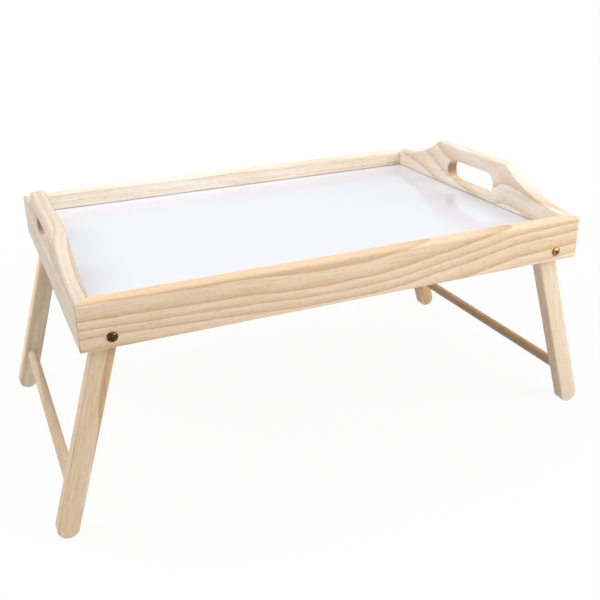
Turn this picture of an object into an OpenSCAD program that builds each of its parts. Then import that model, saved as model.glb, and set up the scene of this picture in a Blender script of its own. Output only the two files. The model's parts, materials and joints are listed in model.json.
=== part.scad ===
// Bed tray table: a mitred pine tray with a laminated floor and raised handles,
// on two leg frames that fold up underneath it.
// Millimetres, +Z up, +X along the tray's length, +Y towards the back.
// The origin is on the floor, under the middle of the tray, with the legs open.

/* [Tray frame] */
// Overall length of the tray over its end boards
tray_l = 500; // [420:1:600]
// Overall width of the tray, front to back
tray_w = 348; // [320:1:420]
// Height of the front and back rails
rail_h = 42.5; // [38:0.5:60]
// Thickness of the four boards
board_t = 14; // [12:0.5:18]
// Radius on the outer top edges
top_round = 3.2; // [1.5:0.1:3.4]
// Radius on the inner top edges
inner_round = 1.6; // [0.5:0.1:2.5]
// Radius on the bottom edges
bottom_round = 1.2; // [0.5:0.1:2]
// Radius on the end boards' inner bottom edges, where the open legs stop
stop_round = 3.5; // [1:0.1:4]
// Radius on the four upright corners
corner_round = 2.2; // [1:0.1:4]

/* [Handles] */
// Rise of the handle above the rails
handle_rise = 31; // [26:0.5:35]
// Length of the handle's flat top, between its corner arcs
handle_flat = 131; // [100:1:150]
// Radius of the arc at each end of the flat top
handle_corner_r = 7; // [7:0.5:12]
// Steepest slope beside the handle, in degrees
handle_slope = 38; // [34:1:48]
// Radius of the hollow knee under that slope
knee_r = 86; // [60:1:110]
// Level stretch left at each corner of the tray, outside the long sweep
shoulder_l = 1; // [0:0.5:15]
// Length of the hand hole
hole_l = 90; // [75:1:105]
// Height of the hand hole
hole_h = 24.5; // [20:0.5:28]
// Solid wood left above the hand hole
hole_cover = 16.5; // [12:0.5:22]
// Radius worked on the hand hole's edges
hole_round = 2; // [1:0.1:3]

/* [Tray floor] */
// Depth of the tray, from the rails' top edge to the floor
well_depth = 18; // [12:0.5:20]
// Thickness of the hardboard floor
hardboard_t = 2.7; // [2:0.1:4]
// Thickness of the white laminate on it
laminate_t = 0.3; // [0.2:0.1:1]
// Depth of the groove in the boards
groove_d = 6; // [4:0.5:8]
// Play of the floor in the groove, above the laminate
groove_play = 0.3; // [0.1:0.1:0.6]
// Room for the floor to grow, at each edge
edge_play = 0.5; // [0.2:0.1:1.5]

/* [Leg frames] */
// Length from the pivot to the foot's tip
leg_reach = 204; // [150:0.5:215]
// Width of a leg
leg_w = 20; // [16:0.5:20]
// Thickness of a leg
leg_t = 14.5; // [12:0.5:18]
// Radius on a leg's long edges
leg_round = 2.5; // [1:0.1:4]
// Angle that an open leg leans outwards
leg_splay = 16.8; // [8:0.1:22]
// Height of the pivots above the rails' bottom edge
pivot_rise = 10; // [8:0.1:10.5]
// Play between an open leg and the end board that stops it
stop_play = 0.3; // [0.2:0.1:1]
// Diameter of the dowel between two legs
dowel_d = 11; // [8:0.5:12]
// Distance of the dowel from the pivot, along the leg
dowel_at = 160; // [80:1:165]
// Depth of the dowel's sockets
socket_d = 8; // [5:0.5:9]
// Bevel at the dowel's ends
dowel_bevel = 0.8; // [0.4:0.1:1.5]

/* [Pivot hardware] */
// Diameter of the screw's plain shank, and of its thread
screw_d = 4; // [3:0.1:5]
// Diameter of the screw's round head
head_d = 9.2; // [7:0.1:11]
// Height of the head
head_h = 2.6; // [1.8:0.1:3.2]
// Height of the head's upright rim
head_rim = 0.5; // [0.2:0.1:1]
// Length of each arm of the cross recess, tip to tip
recess_l = 5.2; // [3.5:0.1:6]
// Width of an arm of the cross recess
recess_w = 1; // [0.7:0.1:1.4]
// Depth of the cross recess
recess_d = 1.4; // [0.8:0.1:1.8]
// Length of thread in the leg
thread_l = 10.5; // [7:0.1:11]
// Distance from one turn of the thread to the next
thread_pitch = 1.4; // [1:0.1:2]
// Depth of the thread
thread_d = 0.5; // [0.3:0.05:0.6]
// Radial running clearance of the shank in the rail
running_play = 0.08; // [0.03:0.01:0.1]
// Play under the screw's head
head_play = 0.1; // [0.05:0.05:0.3]
// Outer diameter of the spacer washer
washer_d = 12; // [9:0.5:15]
// Thickness of the spacer washer
washer_t = 1.2; // [0.8:0.1:2]
// Play between the washer and the rail
washer_play = 0.2; // [0.1:0.05:0.5]

/* [Corner fasteners] */
// Height of the steel V-nails
v_nail_h = 12; // [7:0.5:15]
// Length of each wing of a V-nail
v_nail_wing = 6; // [4:0.5:7]
// Thickness of a V-nail
v_nail_t = 0.6; // [0.4:0.1:1]
// Depth that a V-nail is driven below the bottom edge
v_nail_set = 1; // [0.5:0.1:1.5]

/* [Hidden] */

PINE = "#e6ceac";
PALE_PINE = "#efdcc0";
WHITE = "#f4f5f8";
HARDBOARD = "#8a6440";
BRASS = "#7d5c33";
STEEL = "#b4b7ba";

FINE = 64;          // facets that stand for a true circle
CUT = 1;            // how far a cutter runs past the face it opens
SWEEP_FINE = 192;   // the same for the two large arcs of the end boards

// Heights, from the floor up
pivot_z = (leg_reach - leg_w / 2) * cos(leg_splay) + leg_w / 2;
rail_z = pivot_z - pivot_rise;
rail_top_z = rail_z + rail_h;
laminate_top_z = rail_top_z - well_depth;
laminate_z = laminate_top_z - laminate_t;
hardboard_z = laminate_z - hardboard_t;

// The end board's bottom inner edge stops the open leg. That edge is an arc of stop_round, so
// the pivot stands in from the tray's end by as much as lets the arc clear the leg by stop_play.
stop_reach = leg_w / 2 + stop_play + stop_round;
pivot_inset = board_t - stop_round
            + (stop_reach + (pivot_rise - stop_round) * sin(leg_splay)) / cos(leg_splay);
pivot_x = tray_l / 2 - pivot_inset;

// Across the pivot, from the rail's outer face inwards
rail_leg_gap = washer_t + washer_play;
leg_y = tray_w / 2 - board_t - rail_leg_gap;      // the leg's face that looks at the rail
leg_inner_y = leg_y - leg_t;
shank_l = head_play + board_t + washer_play + washer_t;

// Handle outline, in the end board's own plane: u across the tray, v up from its bottom edge.
// From the flat top a corner arc turns down to handle_slope. A hollow arc, the knee, flattens
// that, and a larger hollow arc, the sweep, runs out level at the shoulder. The sweep's radius
// follows from where it has to end, to a hundredth.
flat_u = handle_flat / 2;
handle_top = rail_h + handle_rise;
corner_c = [flat_u, handle_top - handle_corner_r];
knee_c = corner_c + (handle_corner_r + knee_r) * [sin(handle_slope), cos(handle_slope)];
knee_low = knee_c[1] - knee_r - rail_h;
sweep_run = tray_w / 2 - shoulder_l - knee_c[0];
sweep_more = round(50 * (pow(sweep_run, 2) + pow(knee_low, 2)) / knee_low) / 100;
sweep_r = knee_r + sweep_more;
shoulder_u = knee_c[0] + sqrt(2 * sweep_more * knee_low - pow(knee_low, 2));
sweep_c = [shoulder_u, rail_h + sweep_r];

// Each arc's own sector: neighbouring sectors share the line through both arcs' centres
knee_foot = knee_c + 2 * knee_r / sweep_more * (knee_c - sweep_c);
corner_sector = [corner_c, [flat_u, knee_c[1]], knee_c];
knee_sector = [knee_c, corner_c, knee_foot];
sweep_sector = [knee_c, knee_foot, [shoulder_u, knee_foot[1]], [shoulder_u, knee_c[1]]];
hole_r = hole_h / 2;
hole_v = handle_top - hole_cover - hole_r;
hole_straight = hole_l / 2 - hole_r;

// Corner where a square edge is worked to a quarter round: the waste outside the arc
module quarter_waste(r) {
    difference() {
        translate([-CUT, -CUT]) square([r + CUT, r + CUT]);
        translate([r, r]) circle(r, $fn = FINE);
    }
}

// A rectangle with its four corners worked round; radii go anticlockwise from the lower left
module rounded_section(w, h, radii) {
    difference() {
        square([w, h]);
        quarter_waste(radii[0]);
        translate([w, 0]) mirror([1, 0]) quarter_waste(radii[1]);
        translate([w, h]) rotate(180) quarter_waste(radii[2]);
        translate([0, h]) mirror([0, 1]) quarter_waste(radii[3]);
    }
}

// Plan outline of the tray frame, with its upright corners worked round
module frame_plan() {
    translate([-tray_l / 2, -tray_w / 2])
        rounded_section(tray_l, tray_w, [for (i = [1:4]) corner_round]);
}

// Wedge of the plan that belongs to one board, between the two mitres: the board lies along
// +X at its outer edge y = -across / 2
module mitre_plan(along, across) {
    polygon([[-along / 2, -across / 2], [along / 2, -across / 2],
             [(along - across) / 2, 0], [-(along - across) / 2, 0]]);
}

// Plan of an end board: the same two mitres seen from the right end
module end_mitre_plan() {
    reach = tray_w / 2;
    polygon([[tray_l / 2, -tray_w / 2], [tray_l / 2, tray_w / 2], [tray_l / 2 - reach, 0]]);
}

// Groove for the tray floor, as a solid ring that also opens into the well
module floor_groove() {
    in_l = tray_l - 2 * (board_t - groove_d);
    in_w = tray_w - 2 * (board_t - groove_d);
    translate([-in_l / 2, -in_w / 2, hardboard_z])
        cube([in_l, in_w, hardboard_t + laminate_t + groove_play]);
}

// One steel V-nail across the mitre of the front right corner, driven up from below
module v_nail() {
    half = board_t / 2;
    translate([tray_l / 2 - half, -tray_w / 2 + half, rail_z + v_nail_set])
        linear_extrude(v_nail_h)
            union() {
                translate([-v_nail_wing, -v_nail_t / 2])
                    square([v_nail_wing + v_nail_t / 2, v_nail_t]);
                translate([-v_nail_t / 2, -v_nail_t / 2])
                    square([v_nail_t, v_nail_wing + v_nail_t / 2]);
            }
}

module corner_v_nails() {
    color(STEEL)
        for (sx = [0, 1], sy = [0, 1])
            mirror([sx, 0, 0]) mirror([0, sy, 0]) v_nail();
}

// Front rail: a straight moulding, mitred at both ends, grooved and bored for the pivots
module rail() {
    color(PINE)
        difference() {
            intersection() {
                translate([tray_l / 2, -tray_w / 2, rail_z])
                    rotate([90, 0, -90])
                        mirror([1, 0, 0])
                            linear_extrude(tray_l)
                                rounded_section(board_t, rail_h,
                                    [bottom_round, bottom_round, inner_round, top_round]);
                translate([0, 0, rail_z - CUT])
                    linear_extrude(rail_h + 2 * CUT) frame_plan();
                translate([0, 0, rail_z - CUT])
                    linear_extrude(rail_h + 2 * CUT) mitre_plan(tray_l, tray_w);
            }
            floor_groove();
            corner_v_nails();
            for (sx = [-1, 1])
                translate([sx * pivot_x, -tray_w / 2 - CUT, pivot_z])
                    rotate([-90, 0, 0])
                        cylinder(r = screw_d / 2 + running_play, h = board_t + 2 * CUT, $fn = FINE);
        }
}

module front_rail() {
    rail();
}

module back_rail() {
    mirror([0, 1, 0]) rail();
}

// Goes to a point in two steps, thousandths first, so that arcs that should just touch there
// don't miss each other by a rounding of the figures
module at_point(p) {
    first = [round(p[0] * 1000), round(p[1] * 1000)] / 1000;
    translate([first[0], first[1], 0])
        translate([p[0] - first[0], p[1] - first[1], 0])
            children();
}

// End board outline: a plain board that sweeps up to the handle on both sides
module handle_half() {
    difference() {
        polygon([[0, 0], [tray_w / 2, 0], [tray_w / 2, rail_h], [shoulder_u, rail_h],
                 knee_c, [flat_u, handle_top], [0, handle_top]]);
        difference() {
            polygon(corner_sector);
            at_point(corner_c) circle(handle_corner_r, $fn = FINE);
        }
        at_point(knee_c) circle(knee_r, $fn = SWEEP_FINE);
        intersection() {
            at_point(sweep_c) circle(sweep_r, $fn = SWEEP_FINE);
            polygon(sweep_sector);
        }
    }
}

module end_outline() {
    difference() {
        union() {
            handle_half();
            mirror([1, 0]) handle_half();
        }
        translate([0, hole_v]) hand_hole_outline(0);
    }
}

module hand_hole_outline(grow) {
    for (s = [-1, 1])
        translate([s * hole_straight, 0]) circle(hole_r + grow, $fn = FINE);
    square([2 * hole_straight, 2 * (hole_r + grow)], center = true);
}

// Waste taken off one long edge of the end board: a straight run from p to q, with the wood
// on the right of that direction, worked to radius r on the face at w = 0
module straight_waste(p, q, r) {
    run = q - p;
    translate([p[0], p[1], 0])
        rotate([0, 0, atan2(run[1], run[0])])
            rotate([90, 0, 90])
                linear_extrude(norm(run))
                    mirror([1, 0]) quarter_waste(r);
}

// The same waste around an arc whose wood lies inside it, within the arc's sector
module outside_arc_waste(c, arc_r, sector, r) {
    intersection() {
        at_point(c)
            rotate_extrude($fn = FINE) translate([arc_r, 0]) mirror([1, 0]) quarter_waste(r);
        translate([0, 0, -2 * CUT]) linear_extrude(r + 3 * CUT) polygon(sector);
    }
}

// The same waste around an arc whose wood lies outside it
module inside_arc_waste(c, arc_r, sector, r) {
    intersection() {
        at_point(c) rotate_extrude($fn = SWEEP_FINE) translate([arc_r, 0]) quarter_waste(r);
        translate([0, 0, -2 * CUT]) linear_extrude(r + 3 * CUT) polygon(sector);
    }
}

// All the waste along the top of one half of the end board, on the face at w = 0
module top_edge_waste(r) {
    straight_waste([shoulder_u, rail_h], [tray_w / 2 + CUT, rail_h], r);
    inside_arc_waste(sweep_c, sweep_r, sweep_sector, r);
    inside_arc_waste(knee_c, knee_r, knee_sector, r);
    outside_arc_waste(corner_c, handle_corner_r, corner_sector, r);
    straight_waste([-CUT, handle_top], [flat_u, handle_top], r);
}

// All the waste around the hand hole, on the face at w = 0
module hole_edge_waste(r) {
    for (turn = [0, 180])
        translate([0, hole_v, 0]) rotate([0, 0, turn]) {
            straight_waste([-hole_straight, -hole_r], [hole_straight, -hole_r], r);
            translate([hole_straight, 0, 0])
                rotate([0, 0, -90])
                    rotate_extrude(angle = 180, $fn = FINE)
                        translate([hole_r, 0]) quarter_waste(r);
        }
}

// All the waste on one face of the end board, at w = 0
module face_waste(top_r, bottom_r) {
    for (side = [0, 1])
        mirror([side, 0, 0]) top_edge_waste(top_r);
    hole_edge_waste(hole_round);
    straight_waste([tray_w / 2 + CUT, 0], [-tray_w / 2 - CUT, 0], bottom_r);
}

// Sets what is drawn in the board's own plane into place at the right end: w = 0 is the inner
// face and w = board_t the outer one
module at_right_end() {
    translate([tray_l / 2 - board_t, 0, rail_z]) rotate([90, 0, 90]) children();
}

// The board before its edges are worked, cut to its mitres and upright corners
module end_blank() {
    intersection() {
        at_right_end() linear_extrude(board_t) end_outline();
        translate([0, 0, rail_z - CUT])
            linear_extrude(handle_top + 2 * CUT)
                intersection() {
                    frame_plan();
                    end_mitre_plan();
                }
    }
}

module end_board() {
    color(PINE)
        difference() {
            end_blank();
            at_right_end() {
                face_waste(inner_round, stop_round);
                translate([0, 0, board_t]) mirror([0, 0, 1]) face_waste(top_round, bottom_round);
            }
            floor_groove();
            corner_v_nails();
        }
}

module right_end_board() {
    end_board();
}

module left_end_board() {
    mirror([1, 0, 0]) end_board();
}

// Tray floor: a hardboard sheet with a white laminate bonded to its upper face
module floor_sheet(z, t) {
    sheet_l = tray_l - 2 * (board_t - groove_d + edge_play);
    sheet_w = tray_w - 2 * (board_t - groove_d + edge_play);
    translate([-sheet_l / 2, -sheet_w / 2, z]) cube([sheet_l, sheet_w, t]);
}

module hardboard_floor() {
    color(HARDBOARD) floor_sheet(hardboard_z, hardboard_t);
}

module floor_laminate() {
    color(WHITE) floor_sheet(laminate_z, laminate_t);
}

// Everything of a leg frame is drawn for the right end, with the leg hanging straight down
// from the pivot at the origin, and then leaned outwards into place
module at_pivot(sx, sy) {
    mirror([sx < 0 ? 1 : 0, 0, 0])
        mirror([0, sy < 0 ? 1 : 0, 0])
            translate([pivot_x, 0, pivot_z])
                rotate([0, -leg_splay, 0])
                    children();
}

// Half of the leg's section, for the round ends
module leg_half_section() {
    intersection() {
        translate([-leg_w / 2, 0])
            rounded_section(leg_w, leg_t, [for (i = [1:4]) leg_round]);
        square([leg_w, leg_t]);
    }
}

module round_leg_end() {
    rotate([-90, 0, 0])
        rotate_extrude($fn = FINE) leg_half_section();
}

module leg(sx, sy) {
    straight = leg_reach - leg_w / 2;
    color(PALE_PINE)
        at_pivot(sx, sy)
            difference() {
                translate([0, leg_inner_y, 0]) {
                    round_leg_end();
                    translate([0, 0, -straight]) round_leg_end();
                    translate([-leg_w / 2, 0, -straight])
                        linear_extrude(straight)
                            rounded_section(leg_w, leg_t, [for (i = [1:4]) leg_round]);
                }
                translate([0, leg_y - thread_l, 0])
                    rotate([-90, 0, 0])
                        cylinder(r = screw_d / 2, h = thread_l + CUT, $fn = FINE);
                translate([0, leg_inner_y - CUT, -dowel_at])
                    rotate([-90, 0, 0])
                        cylinder(d = dowel_d, h = socket_d + CUT, $fn = FINE);
            }
}

// Dowel that joins a pair of legs, glued into a blind socket in each
module stretcher(sx) {
    half_l = leg_inner_y + socket_d;
    color(PALE_PINE)
        at_pivot(sx, 1)
            translate([0, 0, -dowel_at])
                rotate([-90, 0, 0])
                    rotate_extrude($fn = FINE)
                        polygon([[0, -half_l], [dowel_d / 2 - dowel_bevel, -half_l],
                                 [dowel_d / 2, -half_l + dowel_bevel],
                                 [dowel_d / 2, half_l - dowel_bevel],
                                 [dowel_d / 2 - dowel_bevel, half_l], [0, half_l]]);
}

// Outline of the screw's thread from its tip, as [radius, distance from the tip]. Each turn is
// drawn as a ring: a steep flank, a narrow crest and a long flank.
function thread_outline() =
    let (turns = floor(thread_l / thread_pitch),
         crest_r = screw_d / 2,
         root_r = crest_r - thread_d,
         start = thread_l - turns * thread_pitch,
         ring = [[crest_r, 0.25], [crest_r, 0.45], [root_r, 1]])
    concat([[0, 0], [root_r, 0], [root_r, start]],
           [for (i = [0:turns - 1], p = ring) [p[0], start + (i + p[1]) * thread_pitch]],
           [[0, thread_l]]);

// Round-head screw along +Z, from the tip of its thread to the crown of its head
module round_head_screw() {
    dome_h = head_h - head_rim;
    dome_r = (pow(head_d / 2, 2) + pow(dome_h, 2)) / (2 * dome_h);
    under_head = thread_l + shank_l;
    difference() {
        union() {
            rotate_extrude($fn = FINE) polygon(thread_outline());
            translate([0, 0, thread_l]) cylinder(d = screw_d, h = shank_l, $fn = FINE);
            translate([0, 0, under_head])
                intersection() {
                    cylinder(d = head_d, h = head_h, $fn = FINE);
                    translate([0, 0, head_h - dome_r]) sphere(dome_r, $fn = FINE);
                }
        }
        for (turn = [0, 90])
            translate([0, 0, under_head + head_h - recess_d])
                rotate([0, 0, turn])
                    translate([-recess_l / 2, -recess_w / 2, 0])
                        cube([recess_l, recess_w, recess_d + CUT]);
    }
}

module pivot_screw(sx, sy) {
    color(BRASS)
        at_pivot(sx, sy)
            translate([0, leg_y - thread_l, 0]) rotate([-90, 0, 0]) round_head_screw();
}

module washer(sx, sy) {
    color(STEEL)
        at_pivot(sx, sy)
            translate([0, leg_y, 0])
                rotate([-90, 0, 0])
                    difference() {
                        cylinder(d = washer_d, h = washer_t, $fn = FINE);
                        translate([0, 0, -CUT])
                            cylinder(r = screw_d / 2 + running_play, h = washer_t + 2 * CUT,
                                     $fn = FINE);
                    }
}

front_rail();
back_rail();
left_end_board();
right_end_board();
hardboard_floor();
floor_laminate();
corner_v_nails();
leg(-1, -1);  // front_left_leg
leg(-1, 1);  // back_left_leg
leg(1, -1);  // front_right_leg
leg(1, 1);  // back_right_leg
stretcher(-1);  // left_stretcher
stretcher(1);  // right_stretcher
pivot_screw(-1, -1);  // front_left_pivot_screw
pivot_screw(-1, 1);  // back_left_pivot_screw
pivot_screw(1, -1);  // front_right_pivot_screw
pivot_screw(1, 1);  // back_right_pivot_screw
washer(-1, -1);  // front_left_washer
washer(-1, 1);  // back_left_washer
washer(1, -1);  // front_right_washer
washer(1, 1);  // back_right_washer
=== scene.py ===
# %% [markdown]
# # A bed tray table in pine
#
# The real piece is a shallow tray, mitred at its four corners like a picture frame. Its two
# end boards rise to handles, its floor is hardboard faced with white laminate, and it
# stands on two leg frames that fold up underneath.
#
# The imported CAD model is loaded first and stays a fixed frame: it says where each piece goes.
# The visible wood is then modelled again around it, with finer arcs and softer edges.

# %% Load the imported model
import json
import math

import bmesh
import bpy
from mathutils import Euler, Matrix, Vector


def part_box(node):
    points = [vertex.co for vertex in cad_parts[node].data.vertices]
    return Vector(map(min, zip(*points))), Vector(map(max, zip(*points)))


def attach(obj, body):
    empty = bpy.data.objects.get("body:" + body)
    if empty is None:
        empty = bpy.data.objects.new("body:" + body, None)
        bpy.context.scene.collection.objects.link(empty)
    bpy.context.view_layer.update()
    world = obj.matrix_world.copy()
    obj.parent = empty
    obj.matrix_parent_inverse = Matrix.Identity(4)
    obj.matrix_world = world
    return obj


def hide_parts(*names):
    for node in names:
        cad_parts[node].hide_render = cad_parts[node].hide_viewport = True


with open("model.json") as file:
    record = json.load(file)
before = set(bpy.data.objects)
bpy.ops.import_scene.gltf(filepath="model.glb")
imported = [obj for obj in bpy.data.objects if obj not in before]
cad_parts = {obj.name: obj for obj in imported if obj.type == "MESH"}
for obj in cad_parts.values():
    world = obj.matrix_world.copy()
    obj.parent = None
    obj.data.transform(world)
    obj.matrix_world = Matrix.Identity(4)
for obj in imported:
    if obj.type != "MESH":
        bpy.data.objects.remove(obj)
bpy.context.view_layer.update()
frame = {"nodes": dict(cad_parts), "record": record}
bodies = frame["record"]["behaviour"]["bodies"]
body_of_node = {node: body for body, nodes in bodies.items() for node in nodes}

# %% [markdown]
# ## Sizes
#
# Blender counts in metres and a joiner in millimetres, so one factor turns the one into the
# other. The heights and the pivots' places come from the loaded model, and the rest is the
# cutting list. The groove is a little wider than the floor is thick, which draws a thin
# dark line all round the floor.

# %% The cutting list, in millimetres
MM = 0.001
MICRON = 1e-6
TRAY_L = 500.0
TRAY_W = 348.0
RAIL_H = 42.5
BOARD_T = 14.0
GROOVE_D = 6.0
GROOVE_PLAY = 0.3
GROOVE_EASE = 0.3
PIVOT_UP = 10.0
RAIL_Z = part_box("front_rail")[0].z / MM
RAIL_TOP = RAIL_Z + RAIL_H
PIVOT_Z = RAIL_Z + PIVOT_UP
washer_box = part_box("front_right_washer")
PIVOT_X = (washer_box[0].x + washer_box[1].x) / 2 / MM
GROOVE_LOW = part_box("hardboard_floor")[0].z / MM
GROOVE_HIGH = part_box("floor_laminate")[1].z / MM + GROOVE_PLAY + GROOVE_EASE
print("rails from", round(RAIL_Z, 2), "to", round(RAIL_TOP, 2), "mm above the table")
print("pivots", round(PIVOT_X, 2), "mm from the middle and", round(PIVOT_Z, 2), "mm up")

# %% [markdown]
# ## Tools of the bench
#
# Modelling by hand goes the same way each time: add a primitive at its size and place, pick
# some faces or edges, and use one tool on them. An operator acts on all that is selected,
# so the first helper clears the bench, and the second picks parts by a test on their place.
# A face looks squarely along an axis when that part of its normal is nearly 1, and a hair
# is a hundredth of a millimetre.

# %% Start a piece, pick its parts, cut and shape them
SQUARELY = 0.999
HAIR = 0.01


def start_piece(name, add, **settings):
    """Adds a primitive where it belongs and goes into edit mode with all of it selected."""
    bpy.ops.object.select_all(action="DESELECT")
    add(**settings)
    piece = bpy.context.object
    piece.name = name
    piece.data.name = name
    bpy.ops.object.transform_apply(location=True, rotation=True, scale=True)
    bpy.ops.object.mode_set(mode="EDIT")
    bpy.ops.mesh.select_mode(type="VERT")
    bpy.ops.mesh.select_all(action="SELECT")
    return piece


def pick(piece, kind, test):
    """In edit mode, selects just the VERT, EDGE or FACE parts that pass the test."""
    bpy.ops.mesh.select_mode(type=kind)
    bpy.ops.mesh.select_all(action="DESELECT")
    mesh = bmesh.from_edit_mesh(piece.data)
    parts = {"VERT": mesh.verts, "EDGE": mesh.edges, "FACE": mesh.faces}[kind]
    picked = [part for part in parts if test(part)]
    for part in picked:
        part.select_set(True)
    bmesh.update_edit_mesh(piece.data)
    return len(picked)


def near(a, b):
    """True when a place in metres is within a micron of a place in millimetres."""
    return abs(a - b * MM) < MICRON


def round_over(radius, segments=8):
    """Rounds the picked edges to a radius in millimetres."""
    bpy.ops.mesh.bevel(
        offset=radius * MM, segments=segments, profile=0.5, affect="EDGES", clamp_overlap=False
    )


def saw(piece, point, outward):
    """Cuts the piece off square to a direction, through a point in millimetres."""
    bpy.ops.mesh.select_all(action="SELECT")
    place = Vector(point) * MM
    bpy.ops.mesh.bisect(
        plane_co=place, plane_no=outward, use_fill=True, clear_outer=True, threshold=MICRON
    )


def grow(dx, dy, dz):
    """Extrudes what is picked by a step in millimetres."""
    step = (dx * MM, dy * MM, dz * MM)
    bpy.ops.mesh.extrude_region_move(TRANSFORM_OT_translate={"value": step})


# %% [markdown]
# Most pieces come in mirrored pairs, so one is modelled and the others are copies with a
# mesh of their own. A mirrored shell is inside out until its normals are worked out again.

# %% Copy a piece
def only(piece):
    """Makes one piece the selected and active one."""
    bpy.ops.object.select_all(action="DESELECT")
    piece.select_set(True)
    bpy.context.view_layer.objects.active = piece


def face_outwards(piece):
    """In edit mode, makes a closed shell's faces agree and point away from its wood or metal."""
    bpy.ops.mesh.select_all(action="SELECT")
    bpy.ops.mesh.normals_make_consistent(inside=False)
    if bmesh.from_edit_mesh(piece.data).calc_volume(signed=True) < 0:
        bpy.ops.mesh.flip_normals()


def mirrored_copy(piece, name, flip):
    """A copy with its own mesh, flipped through the tray's middle by factors of 1 or -1."""
    only(piece)
    bpy.ops.object.duplicate()
    twin = bpy.context.object
    twin.name = name
    twin.data.name = name
    bpy.ops.object.mode_set(mode="EDIT")
    bpy.ops.mesh.select_all(action="SELECT")
    bpy.ops.transform.resize(value=flip, orient_type="GLOBAL", center_override=(0, 0, 0))
    face_outwards(twin)
    bpy.ops.object.mode_set(mode="OBJECT")
    return twin


# %% [markdown]
# A modifier is applied as soon as it is set, so what it made is plain mesh again. One of
# them, the Boolean, takes a shape out of a piece. A round bar makes a drill for it.

# %% Bore a piece
ALONG_Y = (math.pi / 2, 0, 0)
ROUND_SIDES = 64


def apply_modifier(piece, kind, **settings):
    """Gives a piece a modifier with its settings, and applies it at once."""
    only(piece)
    bpy.ops.object.modifier_add(type=kind)
    modifier = piece.modifiers[-1]
    for name, value in settings.items():
        setattr(modifier, name, value)
    bpy.ops.object.modifier_apply(modifier=modifier.name)


def round_bar(name, radius, point, length):
    """Starts a round bar along Y, with its middle at a point in millimetres."""
    return start_piece(
        name,
        bpy.ops.mesh.primitive_cylinder_add,
        vertices=ROUND_SIDES,
        radius=radius * MM,
        depth=length * MM,
        location=[distance * MM for distance in point],
        rotation=ALONG_Y,
    )


def bore(piece, cutter):
    """Leaves the cutter's edit mode, takes its shape out of the piece and puts it away."""
    bpy.ops.object.mode_set(mode="OBJECT")
    apply_modifier(piece, "BOOLEAN", operation="DIFFERENCE", solver="EXACT", object=cutter)
    bpy.data.objects.remove(cutter)


# %% [markdown]
# Edges that turn by less than 32 degrees are shaded round, and weighted normals then keep
# the flat faces flat. A finished piece stands in for its CAD node and rides on its body.

# %% Finish a piece
SMOOTH_BELOW = 32


def finish_piece(piece, node):
    """Shades the piece, and has it stand for its CAD node on that node's body."""
    only(piece)
    bpy.ops.object.shade_smooth_by_angle(angle=math.radians(SMOOTH_BELOW))
    apply_modifier(piece, "WEIGHTED_NORMAL", keep_sharp=True)
    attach(piece, body_of_node[node])
    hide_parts(node)
    size = [round(side / MM, 1) for side in piece.dimensions]
    print(piece.name, "has", len(piece.data.polygons), "faces and measures", size, "mm")


def one_at_each_corner(piece, node, name):
    """Copies a piece made for the back right corner to the other three, and finishes all."""
    pieces = {"back_right_" + node: piece}
    for corner, flip in (
        ("front_right_", (1, -1, 1)),
        ("back_left_", (-1, 1, 1)),
        ("front_left_", (-1, -1, 1)),
    ):
        pieces[corner + node] = mirrored_copy(piece, corner + name, flip)
    for corner_node, corner_piece in pieces.items():
        finish_piece(corner_piece, corner_node)
    return pieces


# %% [markdown]
# ## Front and back rails
#
# A rail is a straight moulding: planed square, its long edges worked round on a spindle
# moulder, grooved for the floor, and mitred at both ends. The same order works here, on a
# long cube. The groove is a strip of the inner face, pushed into the wood before the ends
# are sawn, so that it runs out through the mitres as a real groove does.

# %% The rail's long edges and its groove
TOP_ROUND = 3.2
INNER_ROUND = 1.6
BOTTOM_ROUND = 1.2
FRONT = -TRAY_W / 2
INSIDE = FRONT + BOARD_T

front_rail = start_piece(
    "front_rail_moulding",
    bpy.ops.mesh.primitive_cube_add,
    size=1,
    location=(0, (FRONT + INSIDE) / 2 * MM, (RAIL_Z + RAIL_H / 2) * MM),
    scale=(TRAY_L * MM, BOARD_T * MM, RAIL_H * MM),
)


def long_edge(y, z):
    """A test for the edge that runs along the rail at that height and depth."""
    return lambda edge: all(near(v.co.y, y) and near(v.co.z, z) for v in edge.verts)


for y, z, radius in (
    (FRONT, RAIL_TOP, TOP_ROUND),
    (INSIDE, RAIL_TOP, INNER_ROUND),
    (FRONT, RAIL_Z, BOTTOM_ROUND),
    (INSIDE, RAIL_Z, BOTTOM_ROUND),
):
    pick(front_rail, "EDGE", long_edge(y, z))
    round_over(radius)


def cut_groove(piece, inwards):
    """Pushes a strip of the inner face into the wood, and returns how many faces that was."""
    inwards = Vector(inwards)
    for height in (GROOVE_LOW, GROOVE_HIGH):
        pick(piece, "FACE", lambda face: face.normal.dot(inwards) > SQUARELY)
        bpy.ops.mesh.bisect(plane_co=(0, 0, height * MM), plane_no=(0, 0, 1), threshold=MICRON)

    def is_strip(face):
        between = GROOVE_LOW * MM < face.calc_center_median().z < GROOVE_HIGH * MM
        return between and face.normal.dot(inwards) > SQUARELY

    strips = pick(piece, "FACE", is_strip)
    grow(*(-GROOVE_D * inwards))
    return strips


print("strips pushed into the front rail:", cut_groove(front_rail, (0, 1, 0)))

# %% [markdown]
# The mitre is a saw cut at 45 degrees. The tray's upright corners are sanded round after
# glueing up, so each board carries half of a corner's arc: a few cuts that touch the same
# circle do that. A very fine bevel along the mitre's edges draws the seam that shows where
# the grain of two boards meets.

# %% Mitres and upright corners
CORNER_ROUND = 2.2
CORNER_CUTS = 5
MITRE_SEAM = 0.1
SMALLEST_MITRE = 100 * MM**2


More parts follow.
